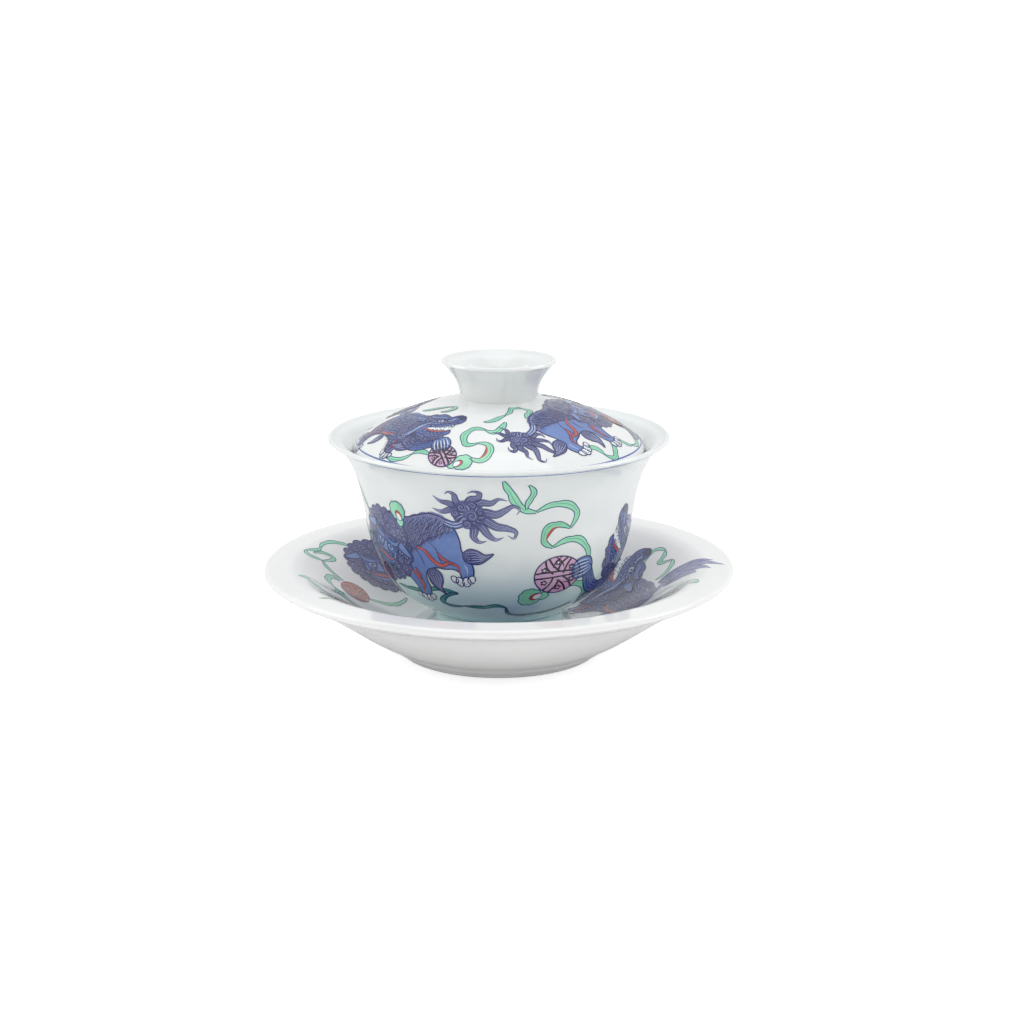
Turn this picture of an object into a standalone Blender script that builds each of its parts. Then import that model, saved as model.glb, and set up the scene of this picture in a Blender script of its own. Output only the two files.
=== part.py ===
"""A gaiwan: a lidded tea bowl that stands on its own saucer, all turned in glazed porcelain.

Metres, +Z up. The shared axis of the three pieces is the Z axis, and the saucer stands on z = 0.
Every outline below is in millimetres, as (radius, height) above that piece's own resting face.
"""

import math

import bmesh
import bpy

MM = 0.001
SEGMENTS = 64          # facets round each turned piece
REST_GAP = 0.3         # clearance between two pieces that rest on each other

# Saucer
SAUCER_RADIUS = 73.7
SAUCER_HEIGHT = 28.2
SAUCER_FOOT_HEIGHT = 4.4
SAUCER_FOOT_RADIUS = 31.6
SAUCER_FOOT_WIDTH = 3.0
SAUCER_RECESS = 4.2    # depth of the hollow inside the foot ring
SAUCER_FLOOR = 8.5     # inside floor, round the well
FLANGE_INNER_RADIUS = 64.4
WELL_RADIUS = 22.6     # shallow well that centres the bowl's foot
WELL_FLOOR = 7.5

# Bowl
BOWL_SEAT = WELL_FLOOR + REST_GAP
BOWL_FOOT_RADIUS = 19.7
BOWL_FOOT_WIDTH = 3.1
BOWL_FOOT_HEIGHT = 5.6
BOWL_RECESS = 4.4
BOWL_WALL_LOW = 3.4
BOWL_WALL_RIM = 1.8
BOWL_FLOOR = 7.8       # inside floor at the axis
BELLY = ((20.4, 5.9), (29.6, 12.0), (39.1, 13.8), (42.6, 41.2))
FLARE = ((42.6, 41.2), (45.4, 58.0), (51.2, 59.2), (52.8, 61.0))
BOWL_RIM_RADIUS = 53.0
BOWL_RIM_HEIGHT = 61.8

# Lid
LID_SEAT = 63.4
LID_WALL = 2.5
LID_EDGE_RADIUS = 45.1
DOME = ((14.0, 17.0), (29.8, 14.7), (45.1, 5.0), (45.1, 2.0))
LID_CEILING = 14.4     # underside at the axis
KNOB_NECK_RADIUS = 12.1
KNOB_RIM_RADIUS = 17.8
KNOB_HEIGHT = 29.8
KNOB_WALL = 2.2
KNOB_FLOOR = 18.8      # floor of the hollow knob ring


def curve(start, handle_a, handle_b, end, steps):
    """Points along a cubic curve, ends included."""
    points = []
    for i in range(steps + 1):
        t = i / steps
        s = 1 - t
        weights = (s ** 3, 3 * s * s * t, 3 * s * t * t, t ** 3)
        controls = (start, handle_a, handle_b, end)
        points.append(tuple(sum(w * c[k] for w, c in zip(weights, controls)) for k in (0, 1)))
    return points


def arc(centre, radius, start_deg, end_deg, steps):
    """Points along a round edge, ends included."""
    points = []
    for i in range(steps + 1):
        angle = math.radians(start_deg + (end_deg - start_deg) * i / steps)
        points.append((centre[0] + radius * math.cos(angle), centre[1] + radius * math.sin(angle)))
    return points


def inner_wall(outer, wall_start, wall_end):
    """The outline moved to its left by a wall that changes evenly from start to end, or right if negative."""
    points = []
    last = len(outer) - 1
    for i, (r, z) in enumerate(outer):
        before = outer[max(i - 1, 0)]
        after = outer[min(i + 1, last)]
        dr, dz = after[0] - before[0], after[1] - before[1]
        length = math.hypot(dr, dz)
        wall = wall_start + (wall_end - wall_start) * i / last
        points.append((r - wall * dz / length, z + wall * dr / length))
    return points


def foot_ring(radius, width, recess, round_edge=0.5):
    """Hollow underside, inner wall and flat resting face of a foot ring."""
    inner = radius - width
    return [
        (0, recess),
        (inner - 1.4, recess),
        (inner - 0.5, recess - 1.0),
        (inner, round_edge),
        (inner + round_edge, 0),
        (radius - round_edge, 0),
        (radius, round_edge),
    ]


def saucer_outline():
    under = curve((37.2, SAUCER_FOOT_HEIGHT), (47.3, 9.2), (59.7, 20.7), (72.2, 25.6), 7)
    lip = arc((SAUCER_RADIUS - 1.0, SAUCER_HEIGHT - 1.0), 1.0, -40, 90, 4)
    dish = curve((FLANGE_INNER_RADIUS, 28.0), (59.8, 27.7), (39.0, 10.8), (27.5, SAUCER_FLOOR), 9)
    well = [(WELL_RADIUS + 0.6, SAUCER_FLOOR), (WELL_RADIUS, WELL_FLOOR), (0, WELL_FLOOR)]
    outline = foot_ring(SAUCER_FOOT_RADIUS, SAUCER_FOOT_WIDTH, SAUCER_RECESS)
    outline += [(34.2, 2.3), (36.4, 4.0)]
    return outline + under + lip + dish + well


def bowl_outline():
    outside = curve(*BELLY, 8) + curve(*FLARE, 6)[1:]
    rim = arc((BOWL_RIM_RADIUS - 0.8, BOWL_RIM_HEIGHT - 0.8), 0.8, -15, 150, 4)
    inside = inner_wall(outside, BOWL_WALL_LOW, BOWL_WALL_RIM)[:-2]
    outline = foot_ring(BOWL_FOOT_RADIUS, BOWL_FOOT_WIDTH, BOWL_RECESS)
    outline += [(20.1, BOWL_FOOT_HEIGHT - 0.5)]
    return outline + outside[:-1] + rim + inside[::-1] + [(9.5, BOWL_FLOOR + 0.1), (0, BOWL_FLOOR)]


def lid_outline():
    dome = curve(*DOME, 8)
    ceiling = inner_wall(dome, -LID_WALL, -LID_WALL)
    edge = arc((LID_EDGE_RADIUS - 1.25, 1.25), 1.25, 10, -180, 5)
    neck = curve((KNOB_NECK_RADIUS, 17.8), (12.5, 22.6), (13.3, 23.8), (17.4, 28.5), 6)
    knob_rim = arc((KNOB_RIM_RADIUS - 0.8, KNOB_HEIGHT - 0.8), 0.8, -20, 170, 4)
    hollow = inner_wall(neck, KNOB_WALL + 0.6, KNOB_WALL)[1:-1]
    under = [(0, LID_CEILING)] + ceiling[1:-1]
    upper = dome[::-1] + neck + knob_rim + hollow[::-1]
    return under + edge[::-1] + upper + [(7.6, KNOB_FLOOR), (0, KNOB_FLOOR)]


def glazed(name, colour, roughness):
    material = bpy.data.materials.new(name)
    material.use_nodes = True
    shader = material.node_tree.nodes["Principled BSDF"]
    shader.inputs["Base Color"].default_value = (*colour, 1.0)
    shader.inputs["Roughness"].default_value = roughness
    shader.inputs["Metallic"].default_value = 0.0
    return material


def turn(name, outline, material):
    """A closed solid of revolution from an outline that starts and ends on the axis."""
    bm = bmesh.new()
    ring = [bm.verts.new((r * MM, 0, z * MM)) for r, z in outline]
    edges = [bm.edges.new(pair) for pair in zip(ring, ring[1:])]
    bmesh.ops.spin(
        bm, geom=ring + edges, cent=(0, 0, 0), axis=(0, 0, 1), angle=2 * math.pi, steps=SEGMENTS,
    )
    bmesh.ops.remove_doubles(bm, verts=bm.verts, dist=0.01 * MM)
    bmesh.ops.recalc_face_normals(bm, faces=bm.faces)
    mesh = bpy.data.meshes.new(name)
    bm.to_mesh(mesh)
    bm.free()
    mesh.shade_smooth()
    mesh.set_sharp_from_angle(angle=math.radians(40))
    mesh.materials.append(material)
    piece = bpy.data.objects.new(name, mesh)
    bpy.context.scene.collection.objects.link(piece)
    return piece


def main():
    for old in list(bpy.data.objects):
        bpy.data.objects.remove(old)

    saucer = turn("saucer", saucer_outline(), glazed("saucer_porcelain", (0.84, 0.85, 0.85), 0.12))
    bowl = turn("bowl", bowl_outline(), glazed("bowl_porcelain", (0.80, 0.84, 0.85), 0.10))
    lid = turn("lid", lid_outline(), glazed("lid_porcelain", (0.84, 0.86, 0.87), 0.10))

    bowl.parent = saucer
    bowl.location.z = BOWL_SEAT * MM
    lid.parent = bowl
    lid.location.z = (LID_SEAT - BOWL_SEAT) * MM


main()
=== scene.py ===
"""A painted porcelain gaiwan on its saucer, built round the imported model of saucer, bowl and lid.

Each CAD solid is replaced by a finely turned porcelain skin with the same section. The painting is
thin coloured enamel laid on those skins: filled shapes and brush strokes, each a mesh that follows
the curved surface. Millimetres are used for the drawing, and metres for everything in the scene.
"""

import random
from math import atan2, ceil, cos, degrees, dist, pi, radians, sin, sqrt

import bpy
import numpy as np
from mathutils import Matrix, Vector
from mathutils.geometry import delaunay_2d_cdt


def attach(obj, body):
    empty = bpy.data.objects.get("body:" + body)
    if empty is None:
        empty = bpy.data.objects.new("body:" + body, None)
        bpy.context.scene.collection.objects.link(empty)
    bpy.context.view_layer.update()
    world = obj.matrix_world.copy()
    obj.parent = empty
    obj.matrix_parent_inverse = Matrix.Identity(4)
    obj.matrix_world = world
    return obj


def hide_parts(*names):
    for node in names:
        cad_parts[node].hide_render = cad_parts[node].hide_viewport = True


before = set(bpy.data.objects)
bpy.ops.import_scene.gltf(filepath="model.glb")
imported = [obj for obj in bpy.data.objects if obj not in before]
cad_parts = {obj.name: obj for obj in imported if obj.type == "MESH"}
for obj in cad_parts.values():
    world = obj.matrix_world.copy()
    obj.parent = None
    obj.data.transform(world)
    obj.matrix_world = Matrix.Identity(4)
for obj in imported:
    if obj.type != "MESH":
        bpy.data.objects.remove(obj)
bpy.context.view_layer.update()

MM = 0.001
TURNS = 192              # facets round a turned skin
PROFILE_STEP = 1.0       # longest step along a turned section
CORNER_DEG = 50          # a sharper turn than this in a section stays a crisp corner

PAINT_LIFT = 0.030       # first coat of paint above the glaze
COAT = 0.012             # each later coat above the one before
PAINT_STEP = 0.9         # longest edge inside a painted patch
LINE_STEP = 0.45         # longest step along a brush stroke
EVEN = (0, 0)            # the taper of a stroke of even width


# ---------------- curves

def smooth(points, closed=False, step=0.5):
    """Points along a smooth curve through the given points, at most step apart."""
    p = np.asarray(points, float)
    n = len(p)
    if n < 3 and not closed:
        count = max(1, ceil(np.linalg.norm(p[-1] - p[0]) / step))
        t = np.linspace(0, 1, count + 1)[:, None]
        return p[0] + (p[-1] - p[0]) * t
    nxt = np.roll(p, -1, axis=0)
    prv = np.roll(p, 1, axis=0)
    after = np.linalg.norm(nxt - p, axis=1)[:, None] + 1e-9
    before = np.linalg.norm(p - prv, axis=1)[:, None] + 1e-9
    slope = ((nxt - p) / after * before + (p - prv) / before * after) / (after + before)
    if not closed:
        slope[0] = 1.5 * (p[1] - p[0]) / after[0] - 0.5 * slope[1]
        slope[-1] = 1.5 * (p[-1] - p[-2]) / before[-1] - 0.5 * slope[-2]
    out = []
    for i in range(n if closed else n - 1):
        j = (i + 1) % n
        length = np.linalg.norm(p[j] - p[i])
        count = max(1, ceil(length / step))
        t = (np.arange(count) / count)[:, None]
        a = 2 * t ** 3 - 3 * t ** 2 + 1
        b = t ** 3 - 2 * t ** 2 + t
        c = -2 * t ** 3 + 3 * t ** 2
        d = t ** 3 - t ** 2
        out.append(a * p[i] + b * length * slope[i] + c * p[j] + d * length * slope[j])
    if not closed:
        out.append(p[-1:])
    return np.vstack(out)


def normals_2d(path):
    """Unit normals to the left of a path."""
    d = np.gradient(path, axis=0)
    d /= np.linalg.norm(d, axis=1)[:, None] + 1e-9
    return np.column_stack([-d[:, 1], d[:, 0]])


# ---------------- skins

class Section:
    """The outline of a turned piece, read from its CAD solid, as (radius, height) in millimetres."""

    def __init__(self, node):
        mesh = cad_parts[node].data
        spot = [tuple(round(c / MM, 2) for c in v.co) for v in mesh.vertices]
        links = {}
        for edge in mesh.edges:
            a, b = (spot[i] for i in edge.vertices)
            if a[1] == b[1] == 0 and a[0] >= 0 and b[0] >= 0 and a != b:
                links.setdefault((a[0], a[2]), set()).add((b[0], b[2]))
                links.setdefault((b[0], b[2]), set()).add((a[0], a[2]))
        ends = sorted(p for p in links if len(links[p]) == 1)
        here = min(ends[:2], key=lambda p: p[1])
        walk = [here]
        while len(walk) < len(links):
            ahead = [p for p in links[here] if p not in walk]
            if not ahead:          # a flat ring has no edge along the section
                ahead = [p for p in ends if p not in walk]
            here = min(ahead, key=lambda p: dist(p, walk[-1]))
            walk.append(here)
        start = [(0.0, walk[0][1])] if walk[0][0] > 0 else []
        end = [(0.0, walk[-1][1])] if walk[-1][0] > 0 else []
        self.corners = np.array(start + walk + end)

    def fine(self):
        """The outline rounded between its crisp corners."""
        p = self.corners
        d = np.diff(p, axis=0)
        heading = np.degrees(np.arctan2(d[:, 1], d[:, 0]))
        turn = np.abs((np.diff(heading) + 180) % 360 - 180)
        cuts = [0] + [i + 1 for i, t in enumerate(turn) if t > CORNER_DEG] + [len(p) - 1]
        runs = [smooth(p[a:b + 1], step=PROFILE_STEP) for a, b in zip(cuts, cuts[1:])]
        line = np.vstack([runs[0]] + [r[1:] for r in runs[1:]])
        line[:, 1] = np.clip(line[:, 1], p[:, 1].min(), p[:, 1].max())
        return line


class Skin:
    """The painted stretch of a section, turned round the axis.

    along is the distance in millimetres from the stretch's start. angle is in radians, 0 at the
    front (-Y) and growing towards +X. The glaze faces right of the outline's direction of travel.
    """

    def __init__(self, outline, start, end):
        a, b = (int(np.argmin(np.linalg.norm(outline - np.array(q), axis=1))) for q in (start, end))
        self.line = outline[a:b + 1]
        gaps = np.linalg.norm(np.diff(self.line, axis=0), axis=1)
        self.run = np.concatenate([[0], np.cumsum(gaps)])
        slope = np.gradient(self.line, axis=0)
        self.slope = slope / np.linalg.norm(slope, axis=1)[:, None]

    def radius(self, along):
        return float(np.interp(along, self.run, self.line[:, 0]))

    def widening(self, along):
        return float(np.interp(along, self.run, self.slope[:, 0]))

    def points(self, angle, along, lift):
        """Places in metres, lift millimetres above the glaze."""
        r, z = (np.interp(along, self.run, self.line[:, i]) for i in (0, 1))
        dr, dz = (np.interp(along, self.run, self.slope[:, i]) for i in (0, 1))
        r = r + lift * dz
        z = z - lift * dr
        return np.column_stack([r * np.sin(angle), -r * np.cos(angle), z]) * MM


# ---------------- painting

class Canvas:
    """All the paint on one skin, kept as patches: paint, places, faces, ink at each point, coat.

    turned_deg is added to every angle, so that the same drawing can be repeated round the piece.
    """

    def __init__(self, skin, body):
        self.skin = skin
        self.body = body
        self.patches = []
        self.turned_deg = 0

    def sheet(self, angle_deg, along, size=1.0, turn_deg=0.0, flip=False, coat=0):
        """A flat sheet to draw on, laid on the skin with its origin at that place."""
        cone = Cone(self, radians(self.turned_deg + angle_deg), along)
        return Sheet(cone, np.eye(2), np.zeros(2), coat).moved(0, 0, size, turn_deg, flip)

    def ring(self, along, width, ink):
        """A blue banding line right round the piece."""
        n = 2 * TURNS
        angle = np.arange(n) * 2 * pi / n
        edges = [np.full(n, along - width / 2), np.full(n, along + width / 2)]
        faces = [(i, (i + 1) % n, n + (i + 1) % n, n + i) for i in range(n)]
        places = (np.tile(angle, 2), np.concatenate(edges))
        self.patches.append(("cobalt", places, faces, np.full(2 * n, ink), 0))


class Cone:
    """The cone that touches a skin at one place, unrolled flat there."""

    def __init__(self, canvas, angle, along):
        self.canvas = canvas
        self.angle = angle
        self.along = along
        widening = canvas.skin.widening(along)
        self.bend = max(abs(widening), 0.02)
        self.way = 1.0 if widening >= 0 else -1.0
        self.reach = canvas.skin.radius(along) / self.bend

    def lay(self, xy):
        """The skin's angles and distances along for flat points in millimetres."""
        up = self.reach + self.way * xy[:, 1]
        out = np.hypot(xy[:, 0], up)
        return self.angle + np.arctan2(xy[:, 0], up) / self.bend, self.along + self.way * (out - self.reach)

    def unlay(self, angle, along):
        """The flat point for a place on the skin."""
        out = self.reach + self.way * (along - self.along)
        turn = (angle - self.angle) * self.bend
        return np.array([out * sin(turn), self.way * (out * cos(turn) - self.reach)])


class Sheet:
    """A flat drawing in millimetres, x to the right and y up, placed on a Cone."""

    def __init__(self, cone, matrix, origin, coat):
        self.cone = cone
        self.matrix = matrix
        self.origin = origin
        self.base = coat
        self.scale = sqrt(abs(np.linalg.det(matrix)))

    def moved(self, x, y, size=1.0, turn_deg=0.0, flip=False, coat=0):
        """The same sheet with its own origin, size and turn. flip mirrors it left to right."""
        c, s = cos(radians(turn_deg)) * size, sin(radians(turn_deg)) * size
        turn = np.array([[c, -s], [s, c]]) @ np.diag([-1.0 if flip else 1.0, 1.0])
        origin = self.matrix @ np.array([x, y], float) + self.origin
        return Sheet(self.cone, self.matrix @ turn, origin, self.base + coat)

    def spots(self, *places):
        """The sheet's points for places given as (angle in degrees, distance along)."""
        canvas = self.cone.canvas
        flat = [self.cone.unlay(radians(canvas.turned_deg + a), s) for a, s in places]
        return [np.linalg.solve(self.matrix, p - self.origin) for p in flat]

    def _add(self, paint, xy, faces, ink, coat):
        value = ink(xy[:, 0], xy[:, 1]) if callable(ink) else np.full(len(xy), float(ink))
        places = self.cone.lay(xy @ self.matrix.T + self.origin)
        if np.linalg.det(self.matrix) < 0:
            faces = [f[::-1] for f in faces]
        self.cone.canvas.patches.append((paint, places, faces, value, self.base + coat))

    def fill(self, paint, outline, ink=0.5, coat=0):
        """A filled patch. ink is a number, or a function of the sheet's x and y."""
        edge = np.asarray(outline, float)
        gap = np.linalg.norm(edge - np.roll(edge, 1, axis=0), axis=1)
        edge = edge[gap > 0.02]
        corners = [tuple(p) for p in edge]
        corners += [tuple(p) for p in lattice_inside(edge, PAINT_STEP / self.scale)]
        loop = [list(range(len(edge)))]
        verts, _, faces, *_ = delaunay_2d_cdt(corners, [], loop, 1, 1e-5)
        if faces:
            self._add(paint, np.array([tuple(v) for v in verts]), [tuple(f) for f in faces], ink, coat)

    def line(self, path, width=0.35, ink=1.0, coat=3, taper=(0.35, 0.35), fine=0.25, paint="cobalt"):
        """A brush stroke. taper is the share at each end that thins down to fine of the width."""
        way = smooth(path, step=LINE_STEP / self.scale)
        t = np.linspace(0, 1, len(way))
        press = np.ones(len(way))
        for share, away in zip(taper, (t, 1 - t)):
            if share > 0:
                press = np.minimum(press, fine + (1 - fine) * np.clip(away / share, 0, 1))
        half = (width / 2 / self.scale) * press[:, None] * normals_2d(way)
        n = len(way)
        faces = [(i, n + i, n + i + 1, i + 1) for i in range(n - 1)]
        self._add(paint, np.vstack([way + half, way - half]), faces, ink, coat)

    def border(self, edge, width, ink=1.0, coat=2, paint="cobalt"):
        """An even line all round an outline."""
        self.line(np.vstack([edge, edge[:1]]), width, ink, coat, EVEN, paint=paint)


def lattice_inside(edge, step):
    """Points of a triangular lattice that lie inside an outline, clear of its edge."""
    low, high = edge.min(0), edge.max(0)
    rows = np.arange(low[1] + step / 2, high[1], step * 0.87)
    columns = np.arange(low[0] + step / 2, high[0], step)
    if not len(rows) or not len(columns):
        return []
    grid = np.array([(x + step / 2 * (i % 2), y) for i, y in enumerate(rows) for x in columns])
    a, b = edge, np.roll(edge, -1, axis=0)
    px, py = grid[:, 0:1], grid[:, 1:2]
    crosses = (a[:, 1] > py) != (b[:, 1] > py)
    at = a[:, 0] + (py - a[:, 1]) * (b[:, 0] - a[:, 0]) / (b[:, 1] - a[:, 1] + 1e-12)
    grid = grid[(np.sum(crosses & (px < at), axis=1) % 2) == 1]
    if not len(grid):
        return []
    span = b - a
    rel = grid[:, None, :] - a[None]
    share = np.clip((rel * span).sum(2) / ((span ** 2).sum(1) + 1e-12), 0, 1)
    away = np.linalg.norm(rel - share[..., None] * span, axis=2).min(1)
    return grid[away > step * 0.4]


# ---------------- brush work

def beside(way, distance):
    """A path moved to its left by distance, which may vary along it."""
    return way + np.reshape(distance, (-1, 1)) * normals_2d(way)


def between(one, other):
    """The outline of the strip between two paths."""
    return np.vstack([one, other[::-1]])


def oval(x, y, rx, ry, turn_deg=0, count=20):
    a = np.arange(count) * 2 * pi / count
    c, s = cos(radians(turn_deg)), sin(radians(turn_deg))
    px, py = rx * np.cos(a), ry * np.sin(a)
    return np.column_stack([x + c * px - s * py, y + s * px + c * py])


def spiral(x, y, r, turns, start_deg, hand):
    t = np.linspace(0, 1, int(9 * turns) + 3)
    a = radians(start_deg) + hand * 2 * pi * turns * t
    radius = r * (1 - 0.88 * t)
    return np.column_stack([x + radius * np.cos(a), y + radius * np.sin(a)])


def scallops(points, bulge):
    """Arcs round the given points, each bulging to the left of its chord by bulge of its length."""
    p = np.asarray(points, float)
    t = np.linspace(0, 1, 6)[:-1, None]
    arcs = []
    for a, b in zip(p, np.roll(p, -1, axis=0)):
        out = np.array([a[1] - b[1], b[0] - a[0]]) * bulge
        arcs.append(a + (b - a) * t + out * 4 * t * (1 - t))
    return np.vstack(arcs)


def tress(s, path, width, ink, hairs, edge):
    """A pointed lock of hair with drawn edges and a few pale hairs."""
    way = smooth(path, step=0.45)
    t = np.linspace(0, 1, len(way))
    half = width / 2 * (1 - t) ** 0.75 * (0.8 + 0.45 * np.sin(pi * t ** 0.8))
    s.fill("violet", between(beside(way, half), beside(way, -half)), ink)
    for k in range(hairs):
        u = (k + 1) / (hairs + 1) * 2 - 1
        s.line(beside(way, u * half)[:int(len(way) * 0.85)], 0.2, 0, 1, paint="violet")
    for side in (-1, 1):
        s.line(beside(way, side * half), 0.24, edge, 2, (0, 0.4))


def curl(s, x, y, r, start_deg, hand, ink, coat):
    """A snail curl of the mane."""
    s.fill("violet", oval(x, y, r, r, count=14), ink, coat)
    s.line(spiral(x, y, r * 0.8, 1.5, start_deg + 150, hand), 0.2, 0.22, coat + 1, paint="violet")
    s.line(spiral(x, y, r, 1.5, start_deg, hand), 0.26, 1, coat + 2, (0, 0.3))


def curls(s, x, y, rx, ry, start_deg, step_deg, count, r, turn_deg, ink, coat):
    """Snail curls along an arc, wound to one side and the other by turns."""
    for k in range(count):
        a = radians(start_deg + step_deg * k)
        curl(s, x + rx * cos(a), y + ry * sin(a), r, turn_deg * k, 1 if k % 2 else -1, ink, coat)


def hair(s, roots, flow, count, seed, width, ink, coat, bend):
    """Brushed hairs that leave a path along flow, each with its own length and bend."""
    rng = random.Random(seed)
    way = smooth(roots, step=0.3)
    flow = np.array(flow, float)
    across = np.array([-flow[1], flow[0]])
    for k in range(count):
        root = way[int((k + rng.random() * 0.6) / count * (len(way) - 1))]
        reach = flow * (1 + 0.25 * (rng.random() * 2 - 1))
        lean = across * bend * (0.6 + 0.8 * rng.random())
        s.line([root, root + reach * 0.5 + lean, root + reach], width, ink, coat, (0.15, 0.6))


def fur(s, outline, flow, step, seed, width=0.18, ink=0.95, coat=3):
    """Short brushed hairs all over a patch, each leaning a little its own way."""
    rng = random.Random(seed)
    flow = np.array(flow, float)
    across = np.array([-flow[1], flow[0]])
    for root in lattice_inside(smooth(outline, closed=True), step):
        root = root + (step * 0.3 * rng.random(), step * 0.3 * rng.random())
        reach = flow * (0.7 + 0.6 * rng.random()) + across * 0.5 * (rng.random() - 0.5)
        s.line([root, root + reach * 0.5 + across * 0.12, root + reach], width, ink, coat, (0.2, 0.6))


def flame(s, path, width):
    """A red lick of fire with a dark edge."""
    way = smooth(path, step=0.4)
    t = np.linspace(0, 1, len(way))
    half = width / 2 * np.sin(pi * np.clip(t * 0.86 + 0.1, 0, 1)) ** 0.8
    s.fill("red", between(beside(way, half), beside(way, -half)), 0.5, 4)
    for side in (-1, 1):
        s.line(beside(way, side * half), 0.24, 0.95, 5, (0.2, 0.2))


def limb(s, path, wide, narrow):
    """A leg, tapered from its shoulder to its wrist, brushed with short hairs."""
    way = smooth(path, step=0.5)
    half = np.linspace(wide, narrow, len(way)) / 2
    half[-3:] *= (0.95, 0.85, 0.6)
    edges = beside(way, half), beside(way, -half)
    s.fill("cobalt", between(*edges), 0.5, 4)
    for edge in edges:
        s.line(edge, 0.4, 1, 6, (0.2, 0))
    rng = random.Random(len(way))
    for k in range(2, len(way) - 4):
        for u in (-0.7, -0.2, 0.3):
            root = way[k] + normals_2d(way)[k] * half[k] * (u + 0.3 * rng.random())
            ahead = way[k + 3] - way[k]
            s.line([root, root + ahead * 0.6 + (0, 0.12), root + ahead], 0.2, 0.9, 5)


def paw(foot):
    """Four white toes outlined in blue."""
    toes = ((-2.7, 0.5, 1), (-1.1, -0.3, 1.2), (0.9, -0.4, 1.25), (2.6, 0.4, 1.1))
    for k, (tx, ty, r) in enumerate(toes):
        toe = oval(tx, ty, r, r * 1.4, -12 * tx, 14)
        foot.fill("white", toe, 0.4, k)
        foot.line(smooth(toe, closed=True), 0.36, 0.95, k + 1, EVEN)
        foot.line([(tx - 0.3, ty - 1.1), (tx + 0.1, ty - 0.5)], 0.3, 0.8, k + 1)


def outlined(s, outline, ink, coat=0, width=0.4, paint="cobalt"):
    """A filled patch with a brushed line round it."""
    edge = smooth(outline, closed=True)
    s.fill(paint, edge, ink, coat)
    s.line(np.vstack([edge, edge[:1]]), width, 1, coat + 2, (0.02, 0.02), 0.6)


# ---------------- ribbons and balls

def ribbon(s, width, *legs, coat=0, shade=0.4, lined=()):
    """A silk ribbon in legs that pinch at their ends and swell on the outside of their bend.

    Each leg is a list of places, as (angle in degrees, distance along), and starts where the one before
    ended. lined numbers the legs whose red lining shows on the inside.
    """
    end = []
    for k, leg in enumerate(legs):
        part = smooth(s.spots(*end, *leg), step=0.4)
        end = leg[-1:]
        t = np.linspace(0, 1, len(part))
        chord, rel = part[-1] - part[0], part - part[0]
        side = 1 if np.sum(chord[0] * rel[:, 1] - chord[1] * rel[:, 0]) > 0 else -1
        reach = np.sum(np.linalg.norm(np.diff(part, axis=0), axis=1))
        lobes = max(1, round(reach / 5.5))
        waves = 0.82 + 0.26 * np.abs(np.sin(lobes * pi * t))
        swell = width * (0.2 + 0.8 * np.sin(pi * t) ** 0.8) * waves
        outer = beside(part, side * swell)
        inner = beside(part, -side * 0.1 * width)
        s.fill("green", between(outer, inner), shade + 0.08 * (k % 2), coat)
        if k in lined:
            ends = len(t) // 5
            core = part[ends:len(t) - ends]
            depth = 0.42 * width * np.sin(pi * np.linspace(0, 1, len(core)))
            inside = beside(core, -side * depth)
            s.fill("red", between(inside, core), 0.5, coat + 3)
            s.line(inside, 0.22, 0.95, coat + 4)
        for edge in (outer, inner):
            s.line(edge, 0.3, 1, coat + 2, EVEN, paint="green")
        if reach > 5:
            fold = beside(part, side * swell * 0.5)[len(t) // 5:-(len(t) // 5)]
            s.line(fold, 0.25, 0.7, coat + 1, paint="green")


def loop_of_silk(s):
    """A cloud-shaped loop of ribbon. Its red lining shows at one side of the hole."""
    lobes = [(-4, -2), (-4.2, 0.1), (-3.3, 2.5), (-1.2, 3.4), (0.9, 2.8), (2.6, 1.2), (5, -0.6), (4, -1.9),
             (2, -1.7), (0.4, -3), (-2, -3.2)]
    rim = scallops(lobes, 0.2)
    s.fill("green", rim, lambda u, v: 0.42 + 0.04 * v, 0)
    s.border(rim, 0.32, paint="green")
    hole = oval(0.9, -0.1, 2, 1.35, 12)
    s.fill("red", hole, 0.5, 1)
    s.fill("white", oval(1.5, -0.2, 1.55, 0.95, 12), 0.4, 2)
    s.border(hole, 0.22, 0.95, 3)


def floret(s, x, y, size):
    for k in range(5):
        a = radians(72 * k + 20)
        dot = oval(x + size * cos(a), y + size * sin(a), size * 0.6, size * 0.5, count=8)
        s.fill("black", dot, 0.9, 2)
    s.fill("white", oval(x, y, size * 0.3, size * 0.3, count=8), 0.3, 2)


def ball(s, x, y, r, paint, turn_deg, coat):
    """An embroidered silk ball, a little flattened: crossing bands with florets in the fields between."""
    s = s.moved(x, y, r / 7, 8, coat=coat)
    s.matrix = s.matrix @ np.diag([1, 0.84])
    lines, edge = ("black", "cobalt") if paint == "pink" else (paint, paint)
    rim = oval(0, 0, 7, 7, count=48)
    s.fill(paint, rim, lambda u, v: 0.42 + 0.012 * (u - v), 0)
    for k in range(3):
        band = s.moved(0, 0, 1, 60 * k + turn_deg)
        for y in (-1, 1):
            half = sqrt(49 - y ** 2)
            start = 1.3 if k else -half
            band.line([(start, y), ((start + half) / 2, y + 0.5), (half, y * 0.6)], 0.62, 0.9, 2, EVEN,
                      paint=lines)
            if k:
                band.line([(-half, y), (-half / 2 - 0.5, y - 0.5), (-1.3, y)], 0.62, 0.9, 2, EVEN,
                          paint=lines)
        y = 2.9 if k % 2 else -2.9
        half = sqrt(49 - y ** 2)
        band.line([(1.8, y), (half * 0.6, y * 1.15), (half, y * 0.9)], 0.36, 0.85, 2, EVEN, paint=lines)
    for k in range(6):
        a = radians(60 * k + 32 + turn_deg)
        floret(s, 4.8 * cos(a), 4.8 * sin(a), 0.72)
    s.border(rim, 0.42, 1, 3, edge)


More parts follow.
